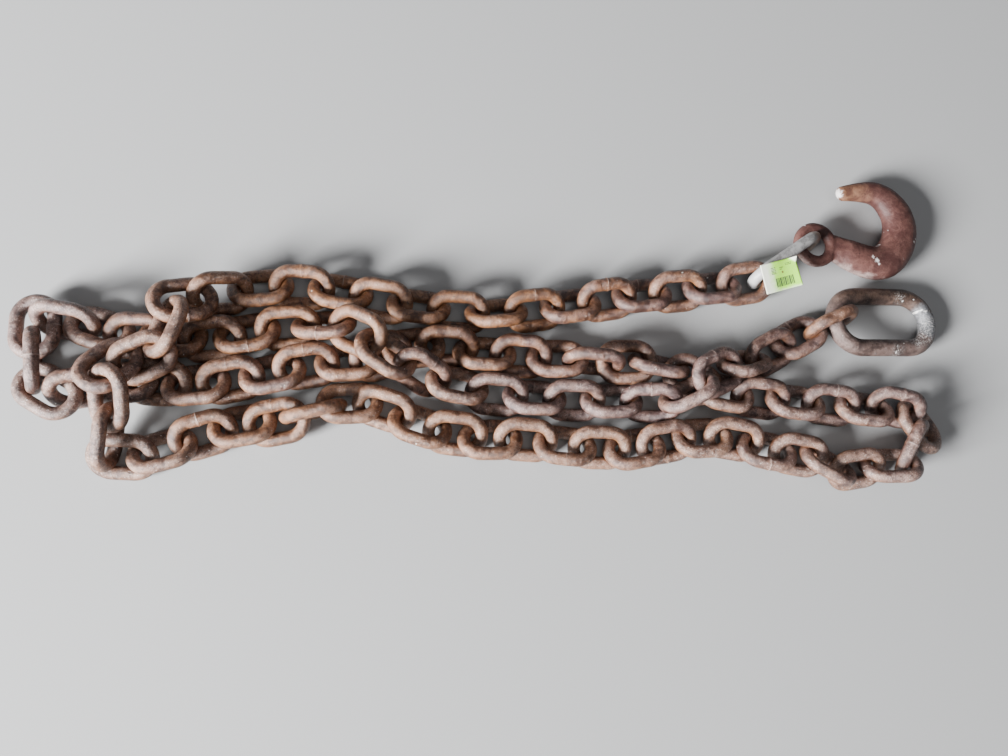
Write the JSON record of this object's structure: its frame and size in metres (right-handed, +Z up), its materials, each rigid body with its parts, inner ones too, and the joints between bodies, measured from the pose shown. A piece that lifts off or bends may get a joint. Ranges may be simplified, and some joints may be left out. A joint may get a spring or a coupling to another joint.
{
  "type": "heap of steel chain",
  "caption": "Long heap of short-link steel chain laid to and fro on the ground, with a forged hook on a coupling link at one end and a large oval link at the other.",
  "frame": {"origin": "middle of the heap's outline on the ground it lies on", "axes": "+X along the heap towards the end with the hook and the end link, +Y to the hook's side, +Z up"},
  "size_m": [1.1652, 0.4242, 0.082],
  "materials": {
    "chain_steel": "forge-welded round steel wire, brown mill scale with orange rust",
    "coupling_link": "bare light grey steel with hammered ends",
    "hook": "drop-forged, red-brown oxide scale",
    "end_link": "forged round steel, brown oxide with worn grey end",
    "lot_tag": "fluorescent yellow-green card with plain black bars"
  },
  "bodies": {
    "root": {"links_01_02": "chain_steel", "links_03_04": "chain_steel", "links_05_06": "chain_steel", "links_07_08": "chain_steel", "links_09_10": "chain_steel", "links_11_12": "chain_steel", "links_13_14": "chain_steel", "links_15_16": "chain_steel", "links_17_18": "chain_steel", "links_19_20": "chain_steel", "links_21_22": "chain_steel", "links_23_24": "chain_steel", "links_25_26": "chain_steel", "links_27_28": "chain_steel", "links_29_30": "chain_steel", "links_31_32": "chain_steel", "links_33_34": "chain_steel", "links_35_36": "chain_steel", "links_37_38": "chain_steel", "links_39_40": "chain_steel", "links_41_42": "chain_steel", "links_43_44": "chain_steel", "links_45_46": "chain_steel", "links_47_48": "chain_steel", "links_49_50": "chain_steel", "links_51_52": "chain_steel", "links_53_54": "chain_steel", "links_55_56": "chain_steel", "links_57_58": "chain_steel", "links_59_60": "chain_steel", "links_61_62": "chain_steel", "links_63_64": "chain_steel", "links_65_66": "chain_steel", "links_67_68": "chain_steel", "links_69_70": "chain_steel", "links_71_72": "chain_steel", "links_73_74": "chain_steel", "links_75_76": "chain_steel", "links_77_78": "chain_steel", "links_79_80": "chain_steel", "links_81_82": "chain_steel", "links_83_84": "chain_steel", "links_85_86": "chain_steel", "links_87_88": "chain_steel", "links_89_90": "chain_steel", "links_91_92": "chain_steel", "links_93_94": "chain_steel", "links_95_96": "chain_steel", "coupling_link": "coupling_link", "hook": "hook", "end_link": "end_link", "lot_tag": "lot_tag"}
  },
  "joints": []
}
